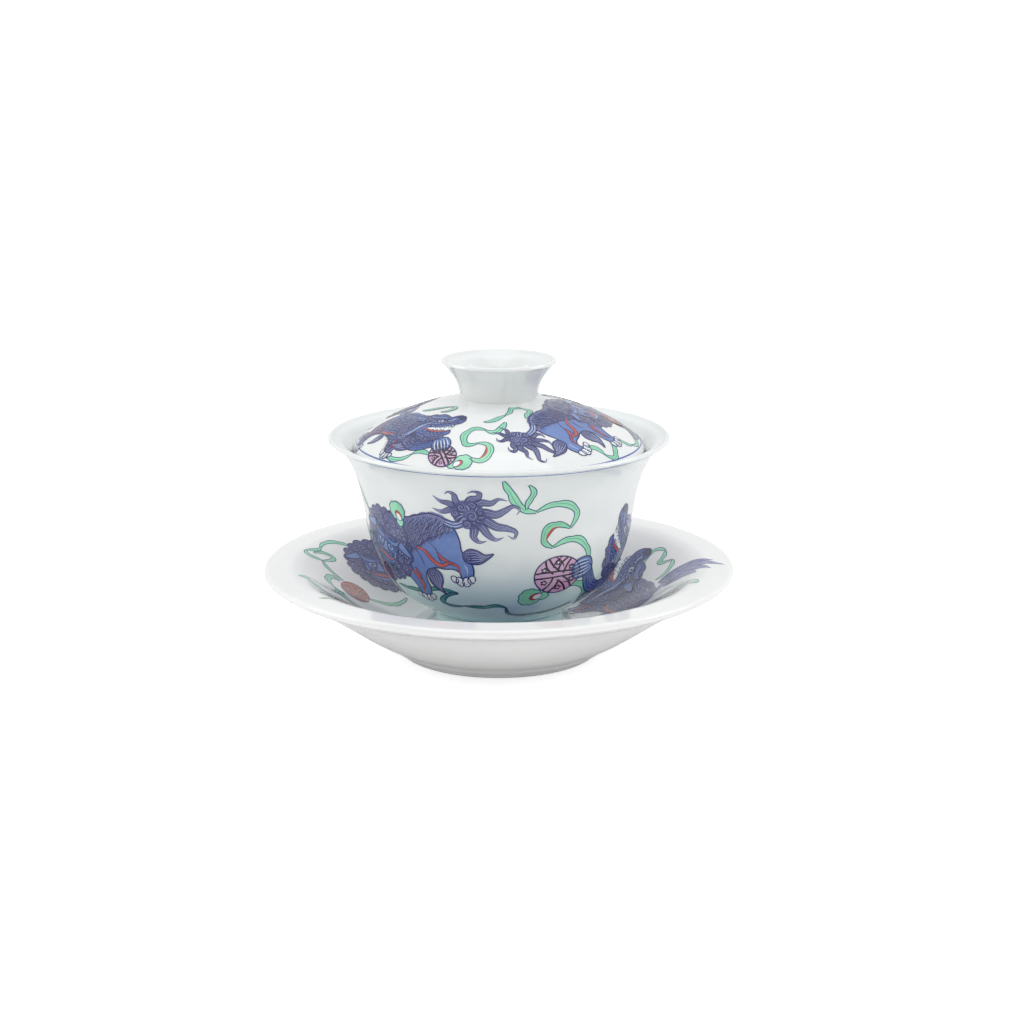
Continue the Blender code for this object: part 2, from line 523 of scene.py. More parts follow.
def long_leaf(s, width, places):
    """A narrow leaf in outline, green along its lower edge and at its point. places run from its root."""
    way = smooth(s.spots(*places), step=0.5)
    t = np.linspace(0, 1, len(way))
    half = width / 2 * np.sin(pi * t ** 0.8) ** 0.7
    above, below = beside(way, -half), beside(way, half)
    s.fill("green", between(beside(way, half * 0.5), below), 0.25)
    s.line(below, 0.4, 0.75, 1, (0.1, 0.1), paint="green")
    s.line(above, 0.3, 0.95, 1, (0.3, 0.1), paint="green")
    s.line(beside(way, half * 0.1), 0.2, 0.4, 1, (0.3, 0.3), paint="green")
    point = int(len(way) * 0.8)
    s.fill("green", between(above[point:], below[point:]), 0.6, 2)


# ---------------- lions

TAIL_LOCKS = (             # width, then the run of each lock from its root to its hooked tip
    (3, (-3, 2.6), (-4.8, 4.5), (-8, 5.6), (-10, 7.4)),
    (2.8, (-3.2, 2.2), (-5.1, 2.6), (-8, 1.9), (-11, 3)),
    (3.2, (-2, 3), (-3, 6), (-3.2, 8), (-4.6, 8.9), (-6, 8)),
    (3.2, (0, 3.6), (1.6, 6), (4, 6.6), (4.6, 8), (3, 8.9), (1, 8.2)),
    (3.4, (2, 2.6), (4.4, 4.6), (7.4, 4.2), (9.8, 5.3), (12.2, 4.3)),
    (3.8, (2, 1), (5, 1.2), (8.4, 0.2), (11.2, 1.2), (13.8, 2.2), (15.4, 0.8), (14.2, -0.9)),
    (4, (2, -0.4), (5, -1.6), (8, -3.8), (11.2, -4.9), (13.4, -6.6), (12.5, -8.3), (10.8, -7)),
    (3.8, (1.4, -1.6), (3.6, -3.4), (5, -6), (7.2, -7.9), (9.6, -7.4)),
    (3.8, (0.4, -1.6), (1.2, -4), (0.7, -6.4), (2.2, -8.2), (4.4, -8)),
)


def tail(s):
    """A lion's tail: a knot of snail curls with hooked locks that fly out of it."""
    for width, *path in TAIL_LOCKS:
        tress(s, path, 0.72 * width, lambda u, v: 0.6 - 0.04 * np.hypot(u, v), 2, 0.9)
    knot = [(-4.9, 3.4), (-2.8, 4.9), (0.3, 5.5), (3.6, 4), (5, 1.6), (4.6, -1.6), (2.6, -3.3),
            (-1.3, -3.5), (-3, -2), (-4.9, 0.9)]
    s.fill("violet", scallops(knot, 0.16), 0.56, 3)
    for k in range(44):
        a = radians(360 / 44 * k)
        reach = (2, 3.2, 4.3 + 0.4 * (k % 3))
        ray = [(0.4 + r * cos(a + 0.1 * r), 0.7 + 0.85 * r * sin(a + 0.1 * r)) for r in reach]
        s.line(ray, 0.22, 1 if k % 3 else 0.05, 4, (0, 0.6))
    for width, *path in TAIL_LOCKS:
        way = smooth(path, step=0.5)[:-6]
        for share in (-0.3, -0.1, 0.1, 0.3):
            s.line(beside(way, share * width * np.linspace(1.1, 0.2, len(way))), 0.18, 0.95, 4, (0, 0.6))
    for cx, cy, r, hand in ((1.1, 0.3, 2.2, -1), (-3.8, 1.6, 1.6, 1), (-1.7, 3.4, 1.6, -1),
                            (-0.8, -2.2, 1.6, 1), (1.8, 3.8, 1.3, -1), (3.8, 1.4, 1.2, 1)):
        curl(s, cx, cy, r, 40 * cx, hand, 0.58, 5)


def brush_tail(s):
    """A tail that sweeps out in one plume with a few points."""
    for heading, reach in ((-26, 11), (32, 10.5), (-12, 13.5), (20, 13.5), (4, 16)):
        lock = s.moved(0, 0, 1, heading)
        path = [(0, 0), (0.25 * reach, 0.07 * reach), (0.6 * reach, 0.09 * reach), (reach, -0.04 * reach)]
        tress(lock, path, 6.6, lambda u, v: 0.46 - 0.016 * u, 5, 0.7)
    curl(s, 1.4, 0.2, 1.7, 60, 1, 0.6, 3)


def tuft(s):
    """A leaf-shaped tuft of hair, as at the heel and under the belly."""
    shape = smooth([(0, 1.2), (2, 2.8), (4.6, 2.4), (6.8, 1), (9.4, 1.2), (7.4, -0.8), (5, -2.2),
                    (2.4, -2.2), (0.4, -1.2)], closed=True)
    s.fill("violet", shape, lambda u, v: 0.66 - 0.02 * u, 0)
    for k in range(5):
        v = 1.5 - 0.75 * k
        s.line([(0.8, v), (3.6, v * 1.1 + 0.3), (6.4, v * 0.4), (8.2, 0.7)], 0.2, 0, 1, paint="violet")
        s.line([(0.8, v - 0.3), (3.6, v * 1.1), (6.4, v * 0.4 - 0.2), (8, 0.6)], 0.2, 0.95, 1)
    curl(s, 1.6, -0.4, 1, 90, -1, 0.6, 1)
    s.border(shape, 0.32)


def eye(s):
    s.fill("cobalt", oval(0, 0, 1.25, 0.95, count=14), 0.02, 0)
    s.fill("cobalt", oval(0.15, 0.05, 0.5, 0.55, count=10), 1, 1)
    s.border(oval(0, 0, 1.25, 0.95, count=14), 0.26)
    s.line([(-1.5, 0.5), (0, 1.3), (1.6, 0.5)], 0.45, 1, 2)


def face_ahead(s):
    """A lion's head seen from the front, in its ruff of curls."""
    ruff = []
    for k in range(20):
        a = -k * pi / 10
        high = 11.5 if sin(a) > 0 else 10
        ruff.append(((11.2 if k % 2 else 10.6) * cos(a), high * sin(a)))
    rim = scallops(ruff, 0.3)
    s.fill("violet", rim, lambda u, v: 0.78 - 0.008 * np.hypot(u, v), 0)
    s.border(rim, 0.34)
    for reach, count, r, phase in ((9.2, 19, 1.5, 0), (6.9, 15, 1.3, 14)):
        for k in range(count):
            a = radians(360 / count * k + phase)
            curl(s, reach * cos(a), reach * 0.98 * sin(a), r, degrees(a), 1 if k % 2 else -1, 0.7, 1)
    for hand in (1, -1):
        ear = s.moved(6.2 * hand, 4.4, 1, -38 * hand, hand < 0, 4)
        outlined(ear, [(0, -1.2), (2.4, -1), (5.4, 1.2), (1.8, 1.2), (-0.2, 0.8)], 0.38, 0, 0.3)
    mask = [(-5.2, 3.6), (-2.8, 4.9), (0, 3.9), (2.8, 4.9), (5.2, 3.6), (5.4, 0), (5, -3.4), (3.2, -5.6),
            (0, -6.2), (-3.2, -5.6), (-5, -3.4), (-5.4, 0)]
    outlined(s, mask, 0.6, 3, 0.36)
    for hand in (1, -1):
        half = s.moved(0, 0, 1, 0, hand < 0, 5)
        brow = [(0.5, 2.3), (1.6, 3.2), (3.2, 3.1), (4.6, 3.9), (6.4, 5.6), (5.4, 3), (3.6, 1.9),
                (1.8, 1.9)]
        outlined(half, brow, 0.38, 0, 0.28)
        half.fill("cobalt", oval(2.3, 0.7, 1.1, 0.8, count=12), 0.16, 1)
        half.fill("cobalt", oval(2.3, 0.75, 0.6, 0.6, count=10), 1, 2)
        half.line([(0.7, 1.6), (0.9, 0.2), (1.7, -1)], 0.3, 1, 1)
        half.line([(4.4, 0.6), (4.6, -1.2), (3.9, -2.8), (2.6, -4.6)], 0.5, 0.3, 0)
        half.line(spiral(1.35, -1.3, 0.75, 1.2, 200, 1), 0.3, 1, 3)
        half.line(spiral(3.6, -1.6, 0.9, 1.2, 60, 1), 0.26, 1, 3)
    nose = [(-0.8, 1.4), (0.8, 1.4), (1, -0.3), (2.1, -1.3), (1.3, -2.1), (0, -1.9), (-1.3, -2.1),
            (-2.1, -1.3), (-1, -0.3)]
    outlined(s, nose, 0.38, 5, 0.28)
    mouth = [(-4.2, -2.3), (-2.4, -2.9), (0, -2.7), (2.4, -2.9), (4.2, -2.3), (3, -3.9), (0, -4.4),
             (-3, -3.9)]
    outlined(s, mouth, 0.4, 5, 0.26, "red")
    for k in range(-3, 4):
        s.line([(k, -2.9), (k + 0.3, -3.4), (k + 0.1, -4)], 0.3, 0.6, 7, EVEN)
    s.line([(-4.4, -3), (-2.6, -4.7), (0, -5.2), (2.6, -4.7), (4.4, -3)], 0.5, 0.3, 5)
    for hand in (1, -1):
        cheek = s.moved(0, 0, 1, 0, hand < 0, 4)
        hair(cheek, [(5, 2.6), (5.4, 0), (4.6, -3)], (-1.6, -1), 9, 21, 0.2, 0.95, 1, 0.1)
        hair(cheek, [(0.8, 4.6), (2.8, 5.4), (4.8, 4.4)], (-0.2, -1.8), 8, 22, 0.2, 0.95, 1, 0.1)
    curls(s, 0, 0, 6.1, 6.9, -150, 20, 7, 1.05, 40, 0.66, 5)


def lion_walking(s, tail_at=(20.2, 11.7), tail_turn=0, tail_size=1):
    """A lion that walks away to the right of its turned head. The origin is at its shoulder."""
    body = [(-12, 9), (-7, 11), (-2, 10.2), (3, 11.6), (8, 12.6), (12.4, 11.2), (15.2, 8), (16.4, 4),
            (16.7, 0.6), (18.4, -2.2), (19.4, -5), (18.6, -8.2), (15.2, -8.4), (15, -6.6), (13.6, -5.5),
            (10.4, -5.4), (7, -5.2), (4, -6.6), (3, -9.6), (3.4, -13), (2.2, -16), (-1.2, -16), (-2.2, -13),
            (-4.6, -10), (-9, -9), (-14, -8), (-16, 2)]
    outlined(s, body, lambda u, v: 0.45 + 0.25 * np.clip((v - 4.5) / 5, 0, 1) - 0.004 * u, 0, 0.45)
    mane = scallops([(-4, -2), (-5, 4), (-3.4, 9.4), (0, 10.6), (3.4, 11.9), (6.8, 12.9), (10.2, 12.9),
                     (13.2, 11.2), (15.2, 8.2), (12.4, 6.8), (9.2, 5.2), (6, 4), (3, 1.6), (0, -1.2)][::-1],
                    -0.12)
    s.fill("violet", mane, lambda u, v: 0.42 - 0.01 * u, 1)
    fur(s, [(-3, 2), (-3, 9), (3.4, 11.6), (8.6, 12.4), (13, 10.8), (14.6, 8.6), (9.4, 6.2), (3, 2.4)],
        (-1.5, -1.9), 0.7, 3, 0.2)
    hair(s, [(-1, 9.4), (4, 10.6), (9, 11.2), (13.4, 8.8)], (-4, -5), 8, 4, 0.16, 0.3, 4, -0.12)
    hair(s, [(0, 0.8), (3, 2.2), (6, 4.4), (9.2, 5.8), (12.4, 7.4)], (-1.4, -2.2), 26, 5, 0.26, 0.9, 3,
         -0.1)
    for k in range(9):
        curl(s, -3.6 + 0.35 * sin(k * 2), 8.6 - 1.5 * k, 1.15, 50 * k, 1 if k % 2 else -1, 0.62, 3)
    tuft(s.moved(16.8, -1.2, 0.98, -4, coat=3))
    tuft(s.moved(5.6, -5.6, 1.02, -80, coat=3))
    s.line([(6.2, 3.2), (8.6, 0.6), (9.2, -2.4), (10.6, -4.6)], 0.35, 0.95, 4)
    s.line([(1, 0.4), (2.6, -2.2), (3.4, -5.4)], 0.35, 0.95, 4)
    s.line([(16.6, -3.4), (17.4, -5.2), (17.2, -7.4)], 0.5, 0.1, 4)
    flame(s, [(1.6, 1.2), (4.6, 0), (6.6, -2.6), (9.2, -4.2), (12.6, -3.2), (14.6, -4.4), (15, -6.8)], 1.3)
    flame(s, [(8.6, 0.4), (9.8, -1.6), (11.8, -2.8), (13.6, -3.6)], 1)
    flame(s, [(-2.8, -7), (-0.4, -9), (0.8, -11.8), (0, -14.8)], 1.2)
    flame(s, [(-0.6, -6), (0.4, -8.2), (0.9, -10.6)], 0.8)
    paw(s.moved(15.6, -9.4, coat=4))
    paw(s.moved(0.2, -17.4, 0.95, coat=4))
    stem = smooth([(12.6, 10.2), (15.6, 9.2), (np.array(tail_at) + (16.5, 8.6)) / 2, tail_at])
    s.line(stem, 2.4, 0.42, 1, EVEN)
    for off, ink in ((1.15, 1), (0.4, 0.05), (0, 0.95), (-0.4, 0.05), (-1.15, 1)):
        s.line(beside(stem, off), 0.3, ink, 4, EVEN)
    tail(s.moved(*tail_at, tail_size, tail_turn))
    face_ahead(s.moved(-13, -1.6, 1.06, -18, coat=2))


def face_aside(s):
    """A roaring lion's head seen from the side, looking left. The origin is the corner of its mouth."""
    ruff = [(-2, 9.6), (2.6, 9.8), (7.4, 8), (10.6, 4.2), (11.4, -0.6), (9.6, -5.2), (6, -8.6), (1, -10),
            (-3.6, -9.4), (-7.2, -7.6), (-3, -3), (-1, 2)]
    rim = scallops(ruff, 0.2)
    s.fill("violet", rim, 0.74, 0)
    s.border(rim, 0.3, 1, 1)
    head = [(3, 7.4), (-0.4, 9.8), (-3.4, 10.5), (-5.9, 9.4), (-7.7, 8.2), (-9.3, 9.3), (-11.4, 10),
            (-13.2, 8.9), (-14.2, 6.6), (-13.6, 4.6), (-11.8, 3.2), (-9.6, 2), (-7.2, 1.2), (-4, 0.9),
            (-0.4, 0.2), (-2.4, -1.2), (-6, -2), (-9, -1.9), (-10.9, -0.8), (-11.6, -2.4), (-9.9, -4.6),
            (-6.4, -6.6), (-1.6, -7), (2.8, -4.8), (4.6, 1.4)]
    outlined(s, head, lambda u, v: 0.52 + 0.01 * np.abs(v), 1, 0.4)
    gape = [(-11.8, 3.1), (-9.6, 1.9), (-7.2, 1.1), (-4, 0.8), (-0.6, 0.2), (-2.4, -1.1), (-6, -1.9),
            (-9, -1.8), (-10.9, -0.7), (-11.2, 1.4)]
    s.fill("white", smooth(gape, closed=True), 0.4, 2)
    upper = [(2.6, 7), (-4, 8.6), (-9, 7.8), (-12.6, 7.6), (-12.4, 4.6), (-7.6, 2), (-0.6, 1.2)]
    lower = [(2, 0.6), (-3, -1.8), (-9.4, -2.4), (-10.4, -3.6), (-6.2, -6), (0, -6.4), (2.4, -4)]
    for side, patch in enumerate((upper, lower)):
        fur(s, patch, (1.4, -0.3), 0.75, 41 + side)
        fur(s, patch, (1.1, -0.1), 1.5, 43 + side, 0.24, 0.08, 4)
    flame(s, [(0.5, 0.8), (-1.6, -1), (-4.6, -1.9), (-8, -2.1), (-11.1, -1)], 1.1)
    teeth = (-11, 2.8, -1.8), (-9.9, 2.2, -1.5), (-8.3, 1.6, -1.2), (-6.6, 1.1, -1), (-4.8, 1, -0.9)
    for at, lip, reach in teeth:
        s.line([(at - 0.6, lip), (at, lip + reach), (at + 0.7, lip - 0.4)], 0.28, 0.95, 4, EVEN)
        s.line([(at + 2.2, -1.7), (at + 2.6, -0.7), (at + 3.2, -1.6)], 0.24, 0.95, 4, EVEN)
    s.fill("cobalt", oval(-12.1, 8.2, 1.9, 1.7, count=14), 1, 4)
    s.line([(-11, 7.2), (-9.4, 6.4), (-7.6, 5)], 0.6, 0.2, 5)
    s.line([(-9.6, 8.6), (-8.2, 6.9), (-6.6, 6.6)], 0.4, 0.95, 5)
    eye(s.moved(-4.6, 5, 1.1, coat=5))
    outlined(s, [(-7, 7), (-4.8, 8.8), (-1.8, 8.6), (1.8, 9.8), (0.6, 7.4), (-2.4, 7)], 0.46, 5, 0.28)
    hair(s, [(-2.4, 6), (1.6, 3.4), (3, -1.2), (0.8, -5.2)], (3.4, -0.8), 26, 31, 0.24, 1, 3, 0.1)
    s.line([(9.6, -5.4), (5.4, -2), (2.6, 1.8), (-0.8, 4)], 1.4, 0.2, 5, (0.3, 0.3))
    hair(s, [(9.6, -5.4), (5.4, -2), (2.6, 1.8), (-0.8, 4)], (0.6, 1.1), 30, 34, 0.2, 0.95, 6, 0.1)
    for k in range(8):
        curl(s, -9.4 + 1.5 * k, -5.4 - 1.6 * sin(0.42 * k), 1, 50 * k, 1 if k % 2 else -1, 0.6, 3)
    for k in range(4):
        curl(s, -11.4 + 1.8 * k, 4.9 - 0.5 * k, 0.9, 60 * k, -1, 0.7, 5)
    curls(s, 3, 0.2, 6, 7.6, 118, -20, 12, 1.5, 30, 0.7, 4)
    outlined(s.moved(3.2, 6.4, 1, 20), [(0, -1.2), (2.8, -0.8), (5.6, 1.2), (2, 1.6), (-0.2, 1)], 0.38, 6,
             0.3)


def lion_playing(s, elbow, paw_at, ball_at, ball_size, silk="pink", hide="cobalt", head_turn=0,
                 fringe=(0.9, -110), plume=(26.4, 5.2, 1, 24)):
    """A lion that crouches to the left with a paw out on its ball. The origin is at its shoulder."""
    body = [(-6, 6), (-1, 9.4), (6, 10.8), (13, 10.6), (19, 8.6), (23, 5), (24.6, 0.6), (23.4, -3.8),
            (24.2, -8), (22.8, -11.6), (19, -11.8), (18.6, -8.6), (17.2, -6), (12.4, -4.4), (6, -5),
            (2, -6.6), (-1.6, -11), (-5.4, -12), (-5.6, -8.6), (-7.4, -5.6), (-9, -2), (-8, 2)]
    brush_tail(s.moved(*plume))
    stem = [(20, 4.4), ((20 + plume[0]) / 2, (5.6 + plume[1]) / 2), plume[:2]]
    s.line(stem, 2.8, 0.5, 0, EVEN, paint="violet")
    outlined(s, body, 0.42, 0, 0.45, hide)
    mane = [(-7, 6), (-1, 10.4), (6, 11.8), (13.4, 11.4), (20, 8.6), (23.2, 5.4), (18, 5), (12, 3.8),
            (6, 2.4), (1, -1), (-2, -5.6), (-6, -5)]
    s.fill(hide, scallops(mane, 0.1), 0.55, 1)
    fur(s, body, (1.5, -1.2), 0.8, 11)
    fur(s, body, (1.3, -1), 1.8, 17, 0.24, 0.05)
    hair(s, [(0, 8.6), (6, 9.6), (13, 9.2), (19, 7)], (5, -5), 10, 12, 0.2, 0.2, 4, 0.14)
    hair(s, [(-1, -4), (1.4, -0.6), (6, 2.6), (12, 4.2), (18, 5.4)], (2.4, -1.6), 24, 13, 0.26, 0.9, 3,
         0.12)
    tuft(s.moved(23.6, -6.4, 0.9, 14, coat=3))
    tuft(s.moved(8.4, -5.2, 0.8, -50, coat=3))
    tuft(s.moved(*elbow, *fringe, coat=3))
    s.line([(14.2, 4), (13.4, 0.4), (15.2, -3.4), (17.4, -5.8)], 0.38, 0.95, 4)
    s.line([(-4.6, -4), (-2.6, -6.4), (-2, -9.2)], 0.38, 0.95, 4)
    flame(s, [(20.4, 3), (19.2, -0.6), (20.6, -4.2), (20, -8.4)], 1.3)
    flame(s, [(3.4, -2.2), (7.6, -3.6), (12.6, -3.2), (16, -4.8)], 1.2)
    flame(s, [(-1.6, -5), (-2.8, -8.2), (-3.6, -11)], 1)
    paw(s.moved(20.4, -12.6, coat=4))
    paw(s.moved(-4, -13, 0.9, coat=4))
    limb(s, [(-1, -0.5), (elbow[0] * 0.5, elbow[1] * 0.6), elbow, paw_at], 6.4, 3.6)
    ball(s, *ball_at, ball_size, silk, 15, 4)
    reach = np.array(ball_at) - paw_at
    grip = s.moved(*paw_at, 1.4, degrees(atan2(reach[1], reach[0])), coat=6)
    knuckles = [(3.6, 1.6), (3.9, 0.2), (3.6, -1.3), (2.6, -2.4), (-1, -1.9), (-1.4, 1.6), (2.4, 2.6)]
    outlined(grip, scallops(knuckles, 0.12), 0.42, 0, 0.36)
    for k in range(9):
        finger = [(-0.6, -1.4 + 0.36 * k), (1.4, -1.8 + 0.46 * k), (3.3, -1.6 + 0.42 * k)]
        grip.line(finger, 0.28, 0.95 * (k % 2), 1, paint="cobalt" if k % 2 else "white")
    for k in range(4):
        grip.line([(3.2, 1.5 - k), (4.3, 1.5 - 1.05 * k), (4.7, 1.1 - 1.1 * k)], 0.34, 1, 2, (0, 0.5))
    face_aside(s.moved(-7.3, 5, 1, head_turn, coat=4))


# ---------------- decoration

PAINTED = {                # where each painted stretch starts and ends, as (radius, height)
    "saucer": ((73.24, 28.04), (23.2, 8.5)),
    "bowl": ((20.4, 13.7), (52.97, 68.59)),
    "lid": ((45.1, 65.4), (14, 80.4)),
}
BARE_BELOW = {"saucer": 0.2, "bowl": 8, "lid": 0}     # unglazed resting edge, below this height


def paint_bowl(canvas):
    canvas.ring(65.2, 0.6, 0.3)
    canvas.ring(0.8, 0.6, 0.45)
    for canvas.turned_deg in (0, 180):
        low = canvas.sheet(0, 18)
        ribbon(low, 1.5, [(-58, 20.5), (-40, 20.4), (-28, 22.6), (-19, 22)],
               [(-26, 19.6), (-28, 17.6), (-18, 16.2)], [(-8, 15.6), (0, 16.6), (4, 16)],
               [(6, 12.6), (22, 11.4), (31.6, 12.6), (42, 15)], shade=0.8)
        left = canvas.sheet(-70, 46)
        ribbon(left, 2, [(-100, 57), (-88, 54), (-78, 50), (-68, 44)], [(-60, 41), (-54, 42), (-46, 46)])
        walker = canvas.sheet(-38, 36, coat=3)
        lion_walking(walker)
        loop_of_silk(walker.moved(-4.4, 11, 0.86, -72, coat=8))
        high = canvas.sheet(20, 46)
        ribbon(high, 2.3, [(2, 62.6), (6.4, 56.5), (9.7, 52.4), (15, 50.2)])
        ribbon(high, 1.6, [(10.8, 60.3), (12.2, 56.8), (10.4, 53.2), (10.8, 51.2)], coat=3)
        ribbon(high, 2, [(15, 50.2), (24, 51.6), (31.4, 48.6), (30, 43.8)],
               [(21.5, 44.2), (19.6, 41), (23, 38.2)], [(33, 39.2), (38.6, 36.4), (42, 31)], lined=(1,))
        ribbon(low, 2.2, [(31, 23), (38, 23.4), (44.5, 20.6), (47, 14.5)], shade=0.55)
        loop_of_silk(low.moved(*low.spots((16.5, 20.8))[0], coat=2))
        player = canvas.sheet(78.7, 25.7)
        elbow, paw_at, ball_at = player.spots((54, 20), (41.6, 30.2), (27, 28.4))
        lion_playing(player, elbow, paw_at, ball_at, 7.8, head_turn=-38)


def paint_lid(canvas):
    canvas.ring(2, 0.5, 0.5)
    for canvas.turned_deg, away, size in ((0, 22.4, 0.9), (176, 17, 0.74)):
        right = canvas.sheet(50, 14)
        ribbon(right, 1.6, [(42, 8.2), (45.7, 7.6), (47.6, 6), (48.8, 4.6)],
               [(53, 3.4), (56, 5.4), (60.2, 8.3)])
        ribbon(right, 1.3, [(67.9, 8.2), (69.5, 6.3), (71, 5), (72.4, 4.2)],
               [(78, 3.6), (84, 5.4), (90.5, 8.1)])
        if canvas.turned_deg == 0:
            ball(right, *right.spots((94, 13))[0], 4.4, "red", 30, 8)
        walker = canvas.sheet(55, away, size, 23, True, 3)
        lion_walking(walker, walker.spots((12.8, 16.2))[0], -55, 0.84)
        front = canvas.sheet(0, 14)
        ribbon(front, 1.9, [(-12.2, 7.6), (-7.6, 7.2), (-5, 9.4), (-6, 13), (-10.3, 13.8)],
               [(-15, 13.6), (-17, 17), (-14.6, 20.2), (-7.4, 20.4)],
               [(-2.6, 20.2), (1.1, 22.6), (4.9, 25.1)], lined=(0,))
        loop_of_silk(front.moved(*front.spots((-15.4, 5.2))[0], 0.8, 196, coat=2))
        ribbon(front, 1.5, [(-10.6, 25), (-6.3, 26), (-0.3, 28.2), (5.9, 29.4)],
               [(12, 31), (17.6, 34.2), (28, 33.9)], [(30, 31.4), (24, 29.5), (21.4, 26.7)])
        player = canvas.sheet(-57, 14.5, 0.8, 0, True)
        ribbon(player, 1.8, [(-53.5, 5.2), (-47.6, 3.9), (-43, 4.4), (-39, 6.4)],
               [(-36, 7.4), (-34, 7.4), (-30, 7.2)])
        elbow, paw_at, ball_at = player.spots((-42, 9.8), (-29.2, 13.4), (-24.4, 7.6))
        lion_playing(player, elbow, paw_at, ball_at, 6, head_turn=-29, fringe=(1.2, -24),
                     plume=(17, 10.4, 0.8, 40))
        back = canvas.sheet(-60, 28)
        ribbon(back, 1.3, [(-74.1, 24.9), (-69.8, 27.2), (-63.5, 30.2), (-58.4, 32)],
               [(-52, 32), (-51.1, 29.2), (-54.6, 27.7)], coat=6)


def paint_saucer(canvas):
    canvas.turned_deg = 0
    left = canvas.sheet(-101, 20)
    ribbon(left, 1.6, [(-121.7, 16.7), (-117.9, 13.2), (-114.2, 11.5), (-109.5, 11.7)],
           [(-107.4, 11.2), (-105.5, 10), (-103.2, 9.1)], [(-101.4, 11.2), (-101.9, 14), (-102.3, 15.9)],
           [(-100.5, 18.2), (-98.8, 21.2), (-97.4, 25.2)])
    ribbon(left, 1.5, [(-103.6, 11.9), (-106.5, 13.6), (-108.3, 16.7), (-102.6, 16)])
    ribbon(left, 1.6, [(-94.7, 34.2), (-99.4, 38.8), (-106.5, 42.4), (-119.5, 43.1)])
    ribbon(left, 2.2, [(-94.9, 24.5), (-93.8, 22.3), (-89.2, 21.4), (-85.2, 22.9)],
           [(-82, 23.8), (-79.6, 23), (-78.1, 21.4)], shade=0.55)
    ribbon(left, 3, [(-84.5, 26.2), (-79.5, 27.5), (-76, 29.8), (-74.4, 33.5)], shade=0.6)
    long_leaf(left, 7, [(-60, 24), (-72.5, 18.6), (-77.6, 13.4), (-76.4, 9.5)])
    long_leaf(left, 3, [(-60, 24), (-56, 14), (-51.5, 9), (-52.9, 6.2)])
    long_leaf(left, 1.4, [(-62, 23), (-62, 15), (-59.7, 11)])
    lion_walking(canvas.sheet(-140.9, 28.1, 1.05, 180))
    ball(left, *left.spots((-93.2, 30.3))[0], 6.1, "red", 40, 4)
    right = canvas.sheet(102, 20)
    ribbon(right, 1.8, [(112.5, 25), (116.4, 20.7), (116.8, 16.9), (113, 15)],
           [(109.7, 16.8), (108.7, 18.9), (104.9, 16.4)], [(101.2, 18.8), (98.8, 21.4), (97.7, 25)])
    long_leaf(right, 6, [(68, 24), (70.6, 16.4), (71.8, 12), (68.4, 8.2)])
    for shoulder, away, size in ((108.8, 40.2, 1.2), (4, 40, 0.8)):
        player = canvas.sheet(shoulder, away, 1.07, 180)
        elbow, paw_at, ball_at, root = player.spots((shoulder + 18, away + 4), (shoulder + 27, away - 2),
                                                    (shoulder + 36, away - 5), (shoulder - 19, away - 17.5))
        lion_playing(player, elbow, paw_at, ball_at, 5.6, "red", "violet", -45, plume=(*root, size, 62))


# ---------------- materials

def srgb(*display):
    """A display colour, 0 to 255, as linear values with alpha."""
    return tuple(((c / 255 + 0.055) / 1.055) ** 2.4 for c in display) + (1.0,)


class Nodes:
    """The nodes of a material, or of a world, being wired up."""

    def __init__(self, owner):
        owner.use_nodes = True
        self.owner = owner
        self.tree = owner.node_tree

    def add(self, kind, inputs=(), **settings):
        node = self.tree.nodes.new("ShaderNode" + kind)
        for key, value in settings.items():
            setattr(node, key, value)
        for key, value in dict(inputs).items():
            self.put(node.inputs[key], value)
        return node

    def put(self, socket, value):
        if isinstance(value, bpy.types.NodeSocket):
            self.tree.links.new(value, socket)
        else:
            socket.default_value = value

    def finish(self, node, **inputs):
        """Sets the inputs of the node that Blender put in, and returns the material or world."""
        for key, value in inputs.items():
            self.put(self.tree.nodes[node].inputs[key.replace("_", " ")], value)
        return self.owner

    def place(self):
        return self.add("TexCoord").outputs["Object"]

    def noise(self, size_mm, detail=3.0):
        """Noise whose lumps are about size_mm wide."""
        spots = {"Vector": self.place(), "Scale": 1 / (size_mm * MM), "Detail": detail}
        return self.add("TexNoise", spots).outputs["Fac"]

    def ramp(self, value, stops):
        node = self.add("ValToRGB", {"Fac": value})
        band = node.color_ramp
        while len(band.elements) < len(stops):
            band.elements.new(1.0)
        for element, (at, colour) in zip(band.elements, stops):
            element.position = at
            element.color = srgb(*colour)
        return node.outputs["Color"]

    def fit(self, value, low, high):
        """A value of 0 to 1 stretched to run from low to high."""
        return self.add("MapRange", {"Value": value, "To Min": low, "To Max": high}).outputs["Result"]

    def bump(self, height, depth_mm):
        return self.add("Bump", {"Height": height, "Distance": depth_mm * MM}).outputs["Normal"]


def new_material(name):
    return Nodes(bpy.data.materials.new(name))


def tinted(m, tone, share, tint, blend):
    """The colour tone mixed with a tint, by share."""
    mix = m.add("Mix", {"Factor": share}, data_type="RGBA", blend_type=blend)
    m.put(mix.inputs[6], tone)
    m.put(mix.inputs[7], tint)
    return mix.outputs[2]


